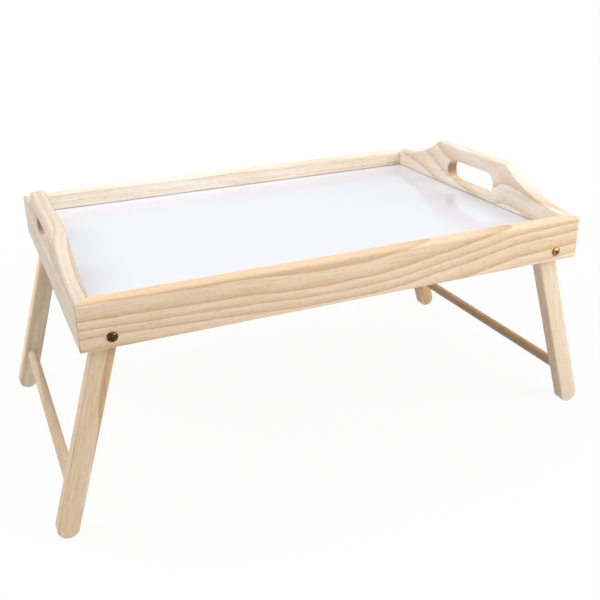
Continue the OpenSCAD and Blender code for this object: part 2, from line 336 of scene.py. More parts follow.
def trim_end(piece, along, out):
    """Mitres the end that along points to and rounds its upright edge. out is the outer side."""
    along, out = Vector(along), Vector(out)
    side = along + out
    corner = Vector((side.x * TRAY_L / 2, side.y * TRAY_W / 2, RAIL_Z))
    saw(piece, corner, along - out)
    middle = corner - CORNER_ROUND * side
    for cut in range(CORNER_CUTS):
        angle = math.radians(45) * (cut + 0.5) / CORNER_CUTS
        facing = out * math.cos(angle) + along * math.sin(angle)
        saw(piece, middle + facing * CORNER_ROUND, facing)


for sx in (-1, 1):
    trim_end(front_rail, (sx, 0, 0), (0, -1, 0))


def is_mitre(face):
    """True for a face sawn at 45 degrees. The cuts that round the corner are smaller."""
    half = math.sqrt(0.5)
    turned = abs(abs(face.normal.x) - half) + abs(abs(face.normal.y) - half)
    return turned < 1 - SQUARELY and face.calc_area() > SMALLEST_MITRE


def bevel_seam(piece):
    """Takes a fine bevel off the outline of each mitre, but not inside the groove."""

    def on_outline(edge):
        mitred = [is_mitre(face) for face in edge.link_faces]
        heights = [vert.co.z / MM for vert in edge.verts]
        in_groove = min(heights) > GROOVE_LOW - HAIR and max(heights) < GROOVE_HIGH + HAIR
        return sum(mitred) == 1 and not in_groove

    count = pick(piece, "EDGE", on_outline)
    round_over(MITRE_SEAM, segments=1)
    return count


print("seam edges on the front rail:", bevel_seam(front_rail))
bpy.ops.object.mode_set(mode="OBJECT")

# %% [markdown]
# Each rail is bored for the two screws that the legs turn on. The bore is hidden by the
# screw's head outside and by a washer inside, but a screw that stands in solid wood would
# be wrong once the model is taken apart.

# %% Bores, and the back rail as a mirrored copy
SCREW_R = 2.0
RUNNING_PLAY = 0.08
OVERCUT = 1.0

for sx in (-1, 1):
    middle = (sx * PIVOT_X, (FRONT + INSIDE) / 2, PIVOT_Z)
    bore(front_rail, round_bar("cutter", SCREW_R + RUNNING_PLAY, middle, BOARD_T + 2 * OVERCUT))

back_rail = mirrored_copy(front_rail, "back_rail_moulding", (1, -1, 1))
finish_piece(front_rail, "front_rail")
finish_piece(back_rail, "back_rail")

# %% [markdown]
# ## End boards with handles
#
# An end board is band-sawn to its outline: a flat grip, a small arc, a hollow knee and a long
# sweep that dies out at the corner. The outline is drawn for the back half only, as one
# chain of points: a single vertex is extruded along the straights and spun round the
# centre of each arc. Because the chain also goes round half of the hand hole, the face
# that fills it has no hole in it, and the bevels that follow stay clean. A mirror
# modifier then makes the front half.

# %% The arcs' centres
HANDLE_RISE = 31.0
GRIP_L = 131.0
GRIP_H = 16.5
HANDLE_CORNER_R = 7.0
HANDLE_SLOPE = 38.0
KNEE_R = 86.0
SHOULDER_L = 1.0
HOLE_L = 90.0
HOLE_H = 24.5
HANDLE_TOP = RAIL_H + HANDLE_RISE
FLAT_U = GRIP_L / 2
HOLE_R = HOLE_H / 2
HOLE_HALF = HOLE_L / 2 - HOLE_R
HOLE_V = HANDLE_TOP - GRIP_H - HOLE_R

corner_c = Vector((FLAT_U, HANDLE_TOP - HANDLE_CORNER_R))
falling = math.radians(HANDLE_SLOPE)
slope = Vector((math.sin(falling), math.cos(falling)))
knee_c = corner_c + (HANDLE_CORNER_R + KNEE_R) * slope

# The sweep is a larger circle, which touches the knee's circle and the shoulder's line
knee_low = knee_c.y - KNEE_R - RAIL_H
sweep_run = TRAY_W / 2 - SHOULDER_L - knee_c.x
sweep_more = (sweep_run**2 + knee_low**2) / (2 * knee_low)
SWEEP_R = KNEE_R + sweep_more
shoulder_u = knee_c.x + math.sqrt(2 * sweep_more * knee_low - knee_low**2)
sweep_c = Vector((shoulder_u, RAIL_H + SWEEP_R))
sweep_turn = math.atan2(sweep_c.x - knee_c.x, sweep_c.y - knee_c.y)
sweep_degrees = math.degrees(sweep_turn)
print("knee centre", knee_c, "sweep centre", sweep_c, "the sweep turns", round(sweep_degrees, 2))

# %% [markdown]
# The chain starts in the middle of the bottom edge and ends above the middle of the hand
# hole. The face that fills it is then pulled out to the board's thickness.

# %% Draw the outline and make it a board
END_IN = TRAY_L / 2 - BOARD_T
END_OUT = TRAY_L / 2


def start_chain(name, x, y, z):
    """Starts an outline: a small plane merged to one vertex at a place in millimetres."""
    place = (x * MM, y * MM, z * MM)
    chain = start_piece(name, bpy.ops.mesh.primitive_plane_add, size=MM, location=place)
    bpy.ops.mesh.merge(type="CENTER")
    return chain


def spin_arc(centre, degrees, steps):
    """Carries the picked vertex round a centre in the board's plane, clockwise from outside."""
    bpy.ops.mesh.spin(
        steps=steps,
        angle=math.radians(degrees),
        center=(END_IN * MM, centre.x * MM, (RAIL_Z + centre.y) * MM),
        axis=(1, 0, 0),
    )


right_end = start_chain("right_end_handle_board", END_IN, 0, RAIL_Z)
grow(0, TRAY_W / 2, 0)
grow(0, 0, RAIL_H)
grow(0, shoulder_u - TRAY_W / 2, 0)
spin_arc(sweep_c, sweep_degrees, steps=16)
spin_arc(knee_c, HANDLE_SLOPE - sweep_degrees, steps=14)
spin_arc(corner_c, -HANDLE_SLOPE, steps=10)
grow(0, -FLAT_U, 0)
grow(0, 0, HOLE_V + HOLE_R - HANDLE_TOP)
grow(0, HOLE_HALF, 0)
spin_arc(Vector((HOLE_HALF, HOLE_V)), 180, steps=32)
grow(0, -HOLE_HALF, 0)
bpy.ops.mesh.select_all(action="SELECT")
bpy.ops.mesh.edge_face_add()
grow(BOARD_T, 0, 0)
face_outwards(right_end)

# %% [markdown]
# A hand finds every edge of a handle, so they are all rounded. The outer top edge has the
# rails' larger radius. The inner bottom edge has the largest, because it is what the leg
# comes to rest against.

# %% Round the end board's edges
STOP_ROUND = 3.5
HOLE_ROUND = 2.0


def in_hand_hole(co):
    """True for a point on the outline of the hand hole."""
    height = co.z / MM - RAIL_Z
    return abs(co.y) / MM < HOLE_L / 2 + HAIR and abs(height - HOLE_V) < HOLE_R + HAIR


def is_top_edge(co):
    """True for a point on the outline's upper side."""
    return co.z > (RAIL_TOP - HAIR) * MM and not in_hand_hole(co)


def is_bottom_edge(co):
    """True for a point on the board's bottom edge."""
    return near(co.z, RAIL_Z)


for face_x, place, radius in (
    (END_OUT, is_top_edge, TOP_ROUND),
    (END_OUT, in_hand_hole, HOLE_ROUND),
    (END_OUT, is_bottom_edge, BOTTOM_ROUND),
    (END_IN, is_top_edge, INNER_ROUND),
    (END_IN, in_hand_hole, HOLE_ROUND),
    (END_IN, is_bottom_edge, STOP_ROUND),
):
    count = pick(
        right_end,
        "EDGE",
        lambda edge: all(near(v.co.x, face_x) and place(v.co) for v in edge.verts),
    )
    round_over(radius, segments=6)
    print("rounded", count, "edges to", radius, "mm")

# %% [markdown]
# The groove is pushed in as on the rails. The faces in the middle are taken away, so that
# the mirrored half joins on without a wall inside the wood.

# %% Groove it, mirror it and mitre it
print("strips pushed into the right end board:", cut_groove(right_end, (-1, 0, 0)))
middle_faces = pick(right_end, "FACE", lambda face: all(near(v.co.y, 0) for v in face.verts))
bpy.ops.mesh.delete(type="FACE")
bpy.ops.object.mode_set(mode="OBJECT")
through_y = (False, True, False)
apply_modifier(right_end, "MIRROR", use_axis=through_y, use_clip=True, merge_threshold=MICRON)
print("faces opened at the middle:", middle_faces)

bpy.ops.object.mode_set(mode="EDIT")
for sy in (-1, 1):
    trim_end(right_end, (0, sy, 0), (1, 0, 0))
print("seam edges on the right end board:", bevel_seam(right_end))
bpy.ops.object.mode_set(mode="OBJECT")

left_end = mirrored_copy(right_end, "left_end_handle_board", (-1, 1, 1))
finish_piece(right_end, "right_end_board")
finish_piece(left_end, "left_end_board")

# %% [markdown]
# ## The floor
#
# The hardboard and its white laminate are flat sheets whose edges sit in the groove. Their
# CAD shapes are right as they are, so they stay and only get a finish further down. So do
# the steel V-nails that hold each mitre from below.

# %% What stays as the CAD drew it
CARRIED_OVER = ("hardboard_floor", "floor_laminate", "corner_v_nails")
print("carried over from the CAD:", ", ".join(CARRIED_OVER))

# %% [markdown]
# ## Legs
#
# A leg is a flat bar with two half-round ends and softened edges. It is drawn upright under
# the back right pivot: down one side, half a turn round the foot, up the other side and
# half a turn round the pivot. Its blind socket takes the dowel, and its pilot hole takes
# the screw. Then the whole leg leans outwards about the pivot.

# %% Draw a leg and round its edges
LEG_W = 20.0
LEG_T = 14.5
LEG_REACH = 204.0
LEG_ROUND = 2.0
LEG_SPLAY = 16.8
WASHER_T = 1.2
WASHER_PLAY = 0.2
LEG_OUT = TRAY_W / 2 - BOARD_T - WASHER_T - WASHER_PLAY
LEG_IN = LEG_OUT - LEG_T
FOOT_Z = PIVOT_Z - (LEG_REACH - LEG_W / 2)


def carry_round(x, y, z, degrees=180, steps=ROUND_SIDES // 2):
    """Carries what is picked round a line along Y through a point in millimetres."""
    bpy.ops.mesh.spin(
        steps=steps, angle=math.radians(degrees), center=(x * MM, y * MM, z * MM), axis=(0, 1, 0)
    )


leg = start_chain("back_right_leg_bar", PIVOT_X - LEG_W / 2, LEG_IN, PIVOT_Z)
grow(0, 0, FOOT_Z - PIVOT_Z)
carry_round(PIVOT_X, LEG_IN, FOOT_Z)
grow(0, 0, PIVOT_Z - FOOT_Z)
carry_round(PIVOT_X, LEG_IN, PIVOT_Z)
bpy.ops.mesh.select_all(action="SELECT")
bpy.ops.mesh.remove_doubles(threshold=MICRON)
bpy.ops.mesh.edge_face_add()
grow(0, LEG_T, 0)
face_outwards(leg)
rim = pick(
    leg,
    "EDGE",
    lambda edge: all(near(v.co.y, LEG_IN) for v in edge.verts)
    or all(near(v.co.y, LEG_OUT) for v in edge.verts),
)
round_over(LEG_ROUND, segments=6)
bpy.ops.object.mode_set(mode="OBJECT")
print("rounded", rim, "edges of the leg")

# %% [markdown]
# Both holes are blind. Each cutter is centred on the wood's surface, so it is twice as long
# as its hole is deep. The leg is bored upright, while its holes are easy to place.

# %% Bore its socket and pilot hole, lean it out and copy it
DOWEL_R = 5.5
DOWEL_AT = 160.0
SOCKET_D = 8.0
THREAD_L = 10.5

for radius, point, depth in (
    (DOWEL_R, (PIVOT_X, LEG_IN, PIVOT_Z - DOWEL_AT), SOCKET_D),
    (SCREW_R, (PIVOT_X, LEG_OUT, PIVOT_Z), THREAD_L),
):
    bore(leg, round_bar("cutter", radius, point, 2 * depth))


def lean_out(piece):
    """Turns a piece drawn upright under the right pivots to its open place."""
    only(piece)
    bpy.ops.object.mode_set(mode="EDIT")
    bpy.ops.mesh.select_all(action="SELECT")
    bpy.ops.transform.rotate(
        value=math.radians(LEG_SPLAY),
        orient_axis="Y",
        orient_type="GLOBAL",
        center_override=(PIVOT_X * MM, 0, PIVOT_Z * MM),
    )
    bpy.ops.object.mode_set(mode="OBJECT")


lean_out(leg)
legs = one_at_each_corner(leg, "leg", "leg_bar")

# %% [markdown]
# ## Dowels
#
# A round dowel ties each pair of legs. It is bought by the metre, cut off, and its ends are
# chamfered so that they find their sockets. The cylinder's two end rims are picked by their
# place and bevelled.

# %% A chamfered dowel for each end
DOWEL_BEVEL = 0.8
DOWEL_HALF = LEG_IN + SOCKET_D

dowel = round_bar("right_dowel", DOWEL_R, (PIVOT_X, 0, PIVOT_Z - DOWEL_AT), 2 * DOWEL_HALF)
pick(dowel, "EDGE", lambda edge: all(near(abs(v.co.y), DOWEL_HALF) for v in edge.verts))
round_over(DOWEL_BEVEL, segments=1)
bpy.ops.object.mode_set(mode="OBJECT")
lean_out(dowel)
left_dowel = mirrored_copy(dowel, "left_dowel", (-1, 1, 1))
finish_piece(dowel, "right_stretcher")
finish_piece(left_dowel, "left_stretcher")

# %% [markdown]
# ## Pivot screws
#
# Each leg turns on a round-head screw. A lathe makes such a shape from its half section, and
# so does spin: a chain of points runs from the tip along the thread and the shank, out
# under the head, up its short rim and over the dome, and is carried once round the axis. The
# thread is a row of rings, each with a steep and a gentle side, and not a helix.

# %% Spin the screw
HEAD_R = 4.6
HEAD_H = 2.6
HEAD_RIM = 0.5
HEAD_PLAY = 0.1
THREAD_PITCH = 1.4
THREAD_D = 0.5
THREAD_RISE = 0.25
THREAD_CREST = 0.20
THREAD_FALL = 0.55
DOME_STEPS = 12
SHANK_L = HEAD_PLAY + BOARD_T + WASHER_PLAY + WASHER_T
TIP_Y = LEG_OUT - THREAD_L
HEAD_Y = LEG_OUT + SHANK_L
DOME_H = HEAD_H - HEAD_RIM
DOME_R = (HEAD_R**2 + DOME_H**2) / (2 * DOME_H)
DOME_Y = HEAD_Y + HEAD_H - DOME_R

screw = start_chain("back_right_round_head_screw", PIVOT_X, TIP_Y, PIVOT_Z)
grow(0, 0, SCREW_R - THREAD_D)
turns = int(THREAD_L / THREAD_PITCH)
for turn in range(turns):
    grow(0, THREAD_RISE * THREAD_PITCH, THREAD_D)
    grow(0, THREAD_CREST * THREAD_PITCH, 0)
    grow(0, THREAD_FALL * THREAD_PITCH, -THREAD_D)
grow(0, THREAD_L - turns * THREAD_PITCH, 0)
grow(0, 0, THREAD_D)
grow(0, SHANK_L, 0)
grow(0, 0, HEAD_R - SCREW_R)
grow(0, HEAD_RIM, 0)
bpy.ops.mesh.spin(
    steps=DOME_STEPS,
    angle=math.asin(HEAD_R / DOME_R),
    center=(PIVOT_X * MM, DOME_Y * MM, PIVOT_Z * MM),
    axis=(1, 0, 0),
)
bpy.ops.mesh.select_all(action="SELECT")
carry_round(PIVOT_X, HEAD_Y, PIVOT_Z, degrees=360, steps=ROUND_SIDES)
bpy.ops.mesh.select_all(action="SELECT")
bpy.ops.mesh.remove_doubles(threshold=2 * MICRON)
face_outwards(screw)
bpy.ops.object.mode_set(mode="OBJECT")
print("the screw has", turns, "turns of thread and a dome of radius", round(DOME_R, 2), "mm")

# %% [markdown]
# The driver's cross is punched into the head by a tapered point. The cutter starts as a
# small square bar. Its four long sides are extruded into arms, and its lower end is drawn in.

# %% Punch the cross recess
RECESS_L = 5.2
RECESS_W = 1.0
RECESS_D = 1.6
RECESS_TAPER = 0.55
PUNCH_L = 3.0
crown_y = HEAD_Y + HEAD_H
punch_place = Vector((PIVOT_X, crown_y - RECESS_D + PUNCH_L / 2, PIVOT_Z)) * MM


def draw_in(share):
    """Draws what is picked in towards the right pivots' axis, to a share of its distance."""
    bpy.ops.transform.resize(
        value=(share, 1, share),
        orient_type="GLOBAL",
        center_override=(PIVOT_X * MM, 0, PIVOT_Z * MM),
    )


punch = start_piece(
    "punch",
    bpy.ops.mesh.primitive_cube_add,
    size=1,
    location=punch_place,
    scale=(RECESS_W * MM, PUNCH_L * MM, RECESS_W * MM),
)
for arm in (Vector((1, 0, 0)), Vector((-1, 0, 0)), Vector((0, 0, 1)), Vector((0, 0, -1))):
    root = punch_place + arm * RECESS_W / 2 * MM
    pick(punch, "FACE", lambda face: (face.calc_center_median() - root).length < HAIR * MM)
    grow(*(arm * (RECESS_L - RECESS_W) / 2))
pick(punch, "VERT", lambda vert: near(vert.co.y, crown_y - RECESS_D))
draw_in(RECESS_TAPER)
bore(screw, punch)
lean_out(screw)
screws = one_at_each_corner(screw, "pivot_screw", "round_head_screw")

# %% [markdown]
# ## Washers
#
# A plain steel washer keeps each leg off its rail. It is stamped from sheet, so its rims are
# slightly rounded. A ring of points is drawn in to the bore, the flat ring is given its
# thickness, and all four rims are bevelled.

# %% Stamp the washers
WASHER_R = 6.0
WASHER_RIM = 0.2

washer = start_piece(
    "back_right_spacer_washer",
    bpy.ops.mesh.primitive_circle_add,
    vertices=ROUND_SIDES,
    radius=WASHER_R * MM,
    location=(PIVOT_X * MM, LEG_OUT * MM, PIVOT_Z * MM),
    rotation=ALONG_Y,
)
bpy.ops.mesh.extrude_region_move()
draw_in((SCREW_R + RUNNING_PLAY) / WASHER_R)
bpy.ops.mesh.select_all(action="SELECT")
grow(0, WASHER_T, 0)
face_outwards(washer)


def is_rim(edge):
    """True for an edge where a wall of the washer meets one of its flats."""
    wall, flat = sorted(abs(face.normal.y) for face in edge.link_faces)
    return wall < 0.5 < flat


pick(washer, "EDGE", is_rim)
round_over(WASHER_RIM, segments=2)
bpy.ops.object.mode_set(mode="OBJECT")
lean_out(washer)
washers = one_at_each_corner(washer, "washer", "spacer_washer")

# %% [markdown]
# ## Finishes
#
# A material is a small network of nodes. One function turns the hex colours of a paint chart,
# which are sRGB, into the linear values that a shader works with. One feeds a node, and one
# adds a node and feeds it.

# %% Colours and nodes
MATHS = "ShaderNodeMath"
VECTORS = "ShaderNodeVectorMath"
RANGE = "ShaderNodeMapRange"
BLEND = "ShaderNodeMix"
NOISE = "ShaderNodeTexNoise"
CURVE = "ShaderNodeFloatCurve"


def chart_colour(hex_code):
    """A hex colour as the linear values of a shader."""
    shares = [int(hex_code[i : i + 2], 16) / 255 for i in (1, 3, 5)]
    linear = [c / 12.92 if c <= 0.04045 else ((c + 0.055) / 1.055) ** 2.4 for c in shares]
    return (*linear, 1.0)


def feed(tree, node, inputs):
    """Gives a node its inputs, in order or by name: values, or the nodes that feed them."""
    for socket, value in inputs.items() if isinstance(inputs, dict) else enumerate(inputs):
        if isinstance(value, bpy.types.Node):
            value = next(output for output in value.outputs if output.enabled)
        if isinstance(value, bpy.types.NodeSocket):
            tree.links.new(value, node.inputs[socket])
        else:
            node.inputs[socket].default_value = value


def add_node(tree, kind, inputs=(), stops=(), points=(), **settings):
    """Adds a node with its settings and what feeds it. A ramp's stops and a curve's points
    start with the two at its ends."""
    node = tree.nodes.new(kind)
    for name, value in settings.items():
        setattr(node, name, value)
    feed(tree, node, inputs)
    for number, (position, grey) in enumerate(stops):
        ramp = node.color_ramp.elements
        stop = ramp[number] if number < 2 else ramp.new(position)
        stop.position = position
        stop.color = (grey, grey, grey, 1.0)
    for number, point in enumerate(points):
        curve = node.mapping.curves[0].points
        if number < 2:
            curve[number].location = point
        else:
            curve.new(*point)
    if points:
        node.mapping.update()
    return node


# %% [markdown]
# Each finish starts as one shader that feeds the material's output, and a piece wears its
# finish all over.

# %% Start a finish, and coat a piece
def new_finish(name):
    """A material with nothing but a shader that feeds its output."""
    finish = bpy.data.materials.new(name)
    finish.use_nodes = True
    tree = finish.node_tree
    tree.nodes.clear()
    shader = add_node(tree, "ShaderNodeBsdfPrincipled")
    add_node(tree, "ShaderNodeOutputMaterial", {"Surface": shader})
    return finish, tree, shader


def coat(piece, finish):
    """Gives all of a piece one finish."""
    piece.data.materials.clear()
    piece.data.materials.append(finish)


# %% [markdown]
# ### Radiata pine, planed and left pale
#
# The figure of a board is a cut through the tree's growth rings. So the rings are drawn in
# space, as tubes around the tree's heart, and each board is given its own place and lean in
# its trunk. Faces, arrises and end grain then agree with each other, as they do in wood.
#
# Each year starts with pale earlywood, darkens slowly into golden latewood and stops at
# once. Radiata pine grows fast, so a year is often 5 to 20 mm wide. Trunks are never straight:
# the run of the grain is drawn as a line along each board, which is what gives long flames
# where rings come out through a face, and waves around the handles.

# %% A board's place in its trunk
def trunk_place(tree, piece, turn, middle):
    """Object coordinates in mm, turned so that X runs up the trunk and its heart is on X."""
    low = Vector([min(corner[i] for corner in piece.bound_box) for i in range(3)])
    high = Vector([max(corner[i] for corner in piece.bound_box) for i in range(3)])
    angles = Euler([math.radians(a) for a in turn])
    shift = Vector(middle) - angles.to_matrix() @ ((low + high) / 2 / MM)
    in_mm = (1 / MM,) * 3
    place = add_node(tree, "ShaderNodeTexCoord")
    trunk = add_node(
        tree,
        "ShaderNodeMapping",
        {"Vector": place.outputs["Object"], "Location": shift, "Rotation": angles, "Scale": in_mm},
    )
    facing = add_node(
        tree,
        "ShaderNodeMapping",
        {"Vector": place.outputs["Normal"], "Rotation": angles},
        vector_type="NORMAL",
    )
    return trunk, facing


def figure(tree, trunk, length, width, detail=2.0, signed=False):
    """Noise whose grains measure so many mm along the trunk and across it."""
    scaled = add_node(
        tree, VECTORS, (trunk, (1 / length, 1 / width, 1 / width)), operation="MULTIPLY"
    )
    return add_node(
        tree, NOISE, {"Vector": scaled, "Scale": 1.0, "Detail": detail}, normalize=not signed
    )


# %% [markdown]
# Two things are drawn as curves along a board: how far the heart has risen, and how much
# wider the years have become. A float curve reads and answers only from 0 to 1, so what
# goes in and what comes out is ranged to its own measure. A third curve turns the distance
# from the heart into years.

# %% The growth rings
YEAR_TONES = ((0.0, 0.05), (1.0, 0.75), (0.3, 0.12), (0.6, 0.38), (0.84, 0.72), (0.95, 1.0))
SLOW_SWAY = 2.0
QUICK_SWAY = 0.6
FAINTEST_WINTER = 0.25


def drawn_line(tree, along, line):
    """A value that follows a drawn line: pairs of a distance in mm and the value there."""
    start, end = line[0][0], line[-1][0]
    low, high = min(value for _, value in line), max(value for _, value in line)
    points = [((at - start) / (end - start), (value - low) / (high - low)) for at, value in line]
    share = add_node(tree, RANGE, (along, start, end, 0.0, 1.0))
    curve = add_node(tree, CURVE, (1.0, share), points=[points[0], points[-1], *points[1:-1]])
    return add_node(tree, RANGE, (curve, 0.0, 1.0, low, high))


def ring_tone(tree, trunk, years, winters, run, spread, bold):
    """How dark the rings are, from 0 for pale earlywood up to bold for the boldest latewood."""
    # Slow noise moves the rings sideways, and faster noise makes them waver
    slow = figure(tree, trunk, 170.0, 60.0, detail=1.0, signed=True)
    quick = figure(tree, trunk, 38.0, 9.0, signed=True)
    moved = trunk
    for sway, most in ((slow, SLOW_SWAY), (quick, QUICK_SWAY)):
        moved = add_node(
            tree,
            VECTORS,
            (sway.outputs["Color"], (0.0, most, most), moved),
            operation="MULTIPLY_ADD",
        )
    parts = add_node(tree, "ShaderNodeSeparateXYZ", (moved,))

    # The drawn run of the grain lifts and lowers the heart
    lift = drawn_line(tree, parts.outputs["X"], run)
    height = add_node(tree, MATHS, (parts.outputs["Z"], lift), operation="SUBTRACT")
    section = add_node(tree, "ShaderNodeCombineXYZ", (0.0, parts.outputs["Y"], height))
    radius = add_node(tree, VECTORS, (section,), operation="LENGTH")
    outermost = float(sum(years))
    if spread:
        wider = drawn_line(tree, parts.outputs["X"], spread)
        outermost = add_node(tree, MATHS, (wider, outermost), operation="MULTIPLY")

    # The years are counted from the heart, and each one ends as dark as chance has it
    edges = [sum(years[:n]) / sum(years) for n in range(len(years) + 1)]
    count = [(edge, n / len(years)) for n, edge in enumerate(edges)]
    share = add_node(tree, MATHS, (radius, outermost), operation="DIVIDE")
    age = add_node(tree, CURVE, (1.0, share), points=[count[0], count[-1], *count[1:-1]])
    age = add_node(tree, MATHS, (age, len(years)), operation="MULTIPLY")
    season = add_node(tree, MATHS, (age,), operation="FRACT")
    growth = add_node(tree, "ShaderNodeValToRGB", (season,), stops=YEAR_TONES)
    year = add_node(tree, MATHS, (age,), operation="FLOOR")
    year = add_node(tree, MATHS, (year, float(winters)), operation="ADD")
    chance = add_node(tree, "ShaderNodeTexWhiteNoise", {"W": year}, noise_dimensions="1D")
    strength = add_node(tree, RANGE, (chance, 0.0, 1.0, FAINTEST_WINTER * bold, bold))
    return add_node(tree, MATHS, (growth, strength), operation="MULTIPLY")


# %% [markdown]
# Fibres run along the trunk, and so do short brown resin canals. A fibre is 0.03 mm wide and
# a canal 0.2 mm, which is too fine to show on a whole tray, so both are drawn about 0.7 mm
# wide, as bundles. Where a face is cut across the trunk, the fibres' open ends drink in
# the light, and the wood looks darker and browner. The end grain colour is darker than that
# alone. The rest is painted shade, meant for the shade deep inside the hand holes, and it
# falls on every cut end.

# %% Fibres, resin and end grain
STRAIGHT = ((-300, 0), (300, 1))
FIBRE_L, FIBRE_W = 40.0, 0.7
CANAL_L, CANAL_W = 7.0, 0.65
PATCH_L, PATCH_W = 110.0, 22.0
ROSY_WOOD = chart_colour("#efd8bf")
RESIN = chart_colour("#a8713f")
# End grain's own darkening, plus painted shade for the dim insides of the hand holes
END_GRAIN_AND_SHADE = chart_colour("#906647")
RELIEF = 0.08 * MM


def pine(piece, turn, middle, years, winters, tones, bold, run=STRAIGHT, spread=()):
    """One board's finish. turn (degrees) and middle (mm) place it in its trunk. years are its
    ring widths in mm from the heart out, winters picks how dark each one ends, and bold is
    the darkest. tones are earlywood and latewood. run is how many mm the heart rises along
    the board, and spread is by how much its years widen."""
    finish, tree, shader = new_finish("planed_radiata_pine_" + piece.name)
    early, late_colour = chart_colour(tones[0]), chart_colour(tones[1])
    trunk, facing = trunk_place(tree, piece, turn, middle)
    late = ring_tone(tree, trunk, years, winters, run, spread, bold)
    fibres = figure(tree, trunk, FIBRE_L, FIBRE_W, detail=3.0)
    canals = figure(tree, trunk, CANAL_L, CANAL_W, detail=1.0)
    patches = figure(tree, trunk, PATCH_L, PATCH_W)

    # Rosy patches lie under the rings, and streaks and resin over them
    rosy = add_node(tree, RANGE, (patches, 0.35, 0.65, 0.0, 0.6))
    wood = add_node(tree, BLEND, {0: rosy, 6: early, 7: ROSY_WOOD}, data_type="RGBA")
    wood = add_node(tree, BLEND, {0: late, 6: wood, 7: late_colour}, data_type="RGBA")
    cut = add_node(tree, "ShaderNodeSeparateXYZ", (facing,))
    cut = add_node(tree, MATHS, (cut.outputs["X"],), operation="ABSOLUTE")
    along_grain = add_node(tree, RANGE, (cut, 0.12, 0.4, 0.45, 0.1))
    streak = add_node(tree, RANGE, (fibres, 0.42, 0.72, 0.0, along_grain))
    wood = add_node(tree, BLEND, {0: streak, 6: wood, 7: late_colour}, data_type="RGBA")
    fleck = add_node(tree, RANGE, (canals, 0.6, 0.77, 0.0, 0.75))
    in_late = add_node(tree, RANGE, (late, 0.0, 0.6, 0.4, 1.0))
    fleck = add_node(tree, MATHS, (fleck, in_late), operation="MULTIPLY")
    wood = add_node(tree, BLEND, {0: fleck, 6: wood, 7: RESIN}, data_type="RGBA")
    # Cut ends take the end grain colour, which is partly painted shade
    end_grain_shade_share = add_node(tree, RANGE, (cut, 0.6, 0.97, 0.0, 0.85))
    wood = add_node(tree, BLEND, {0: end_grain_shade_share, 6: wood, 7: END_GRAIN_AND_SHADE}, data_type="RGBA")

    # Planed pine is matt, and its hard latewood takes a little more shine and stands proud
    sheen = add_node(tree, RANGE, (late, 0.0, 1.0, 0.60, 0.48))
    relief = add_node(tree, MATHS, (late, 0.6, fibres), operation="MULTIPLY_ADD")
    bump = add_node(
        tree, "ShaderNodeBump", {"Height": relief, "Strength": 0.3, "Distance": RELIEF}
    )
    feed(tree, shader, {"Base Color": wood, "Roughness": sheen, "Normal": bump, "IOR": 1.45})
    coat(piece, finish)
    print(finish.name, "has years of", years, "mm")


# %% [markdown]
# The front rail was cut close under the heart, so its rings curve strongly across the top edge.
# Its grain dips a little and then climbs towards the right and widens, and there two rings
# run out through the top in long flames. The back rail is pale and straight; its near-white
# tone is partly painted light, for the bright face that it turns to the front.

# %% The rails in their trunks
FRONT_RUN = ((0, 0), (50, 0.5), (100, 0), (150, -0.4), (200, -2.3), (250, -1.1), (292, 3.3))
FRONT_RUN += ((325, 8.8), (350, 12.7), (375, 16.6), (408, 21.7), (430, 23.9))
FRONT_RUN += ((458, 23.9), (500, 23.2))
FRONT_SPREAD = ((0, 1), (250, 1.2), (325, 1.27), (375, 1.28), (430, 1.25), (500, 1.15))
pine(
    front_rail,
    turn=(0, 0, 0),
    middle=(250, -2, -33.25),
    years=(16.6, 11.8, 7.5, 7.3, 11.1, 8.0, 7.9, 8.0),
    winters=4981,
    tones=("#f1ddc1", "#cda16c"),
    bold=0.82,
    run=FRONT_RUN,
    spread=FRONT_SPREAD,
)
pine(
    back_rail,
    turn=(0, -0.6, 0),
    middle=(900, -9, 48),
    years=(7, 9, 7, 6, 8, 7, 7, 9, 8),
    winters=900,
    # Near-white tones: the wood's paleness, and partly painted light for its bright inner face
    tones=("#fffaee", "#ddb484"),
    bold=0.45,
)

# %% [markdown]
# The right end board comes from further out, and its broad years wave around the hand hole.
# The left one was sawn flat beside the heart, so its rings lie along its faces and show as
# lines along its top edge.

# %% The end boards in their trunks
RIGHT_RUN = ((-160, -42), (-135, -41.4), (-111, -40), (-90, -36.5), (-77, -35.5), (-65, -36.6))
RIGHT_RUN += ((-48, -44.6), (-40, -46), (-20, -44), (10, -37), (27, -34), (52, -28))
RIGHT_RUN += ((77, -17), (100, -10), (130, -5), (160, 0), (180, 3))
pine(
    right_end,
    turn=(0, 0, -90),
    middle=(0, 10, -120),
    years=(27.7, 21.7, 21.7, 21.7, 22.1, 22, 22, 22),
    winters=188,
    tones=("#fffaf1", "#dab68b"),
    bold=0.75,
    run=RIGHT_RUN,
)
pine(
    left_end,
    turn=(0.5, 0.3, -90),
    middle=(0, 44, -12),
    years=(9, 7, 6, 5.5, 6, 6.5, 5.5, 6, 7, 6, 5.5, 6),
    winters=14,
    # Grey, darker tones: painted shade, for the cool shade on this board's outward face
    tones=("#dad2c6", "#b3946f"),
    bold=0.85,
)
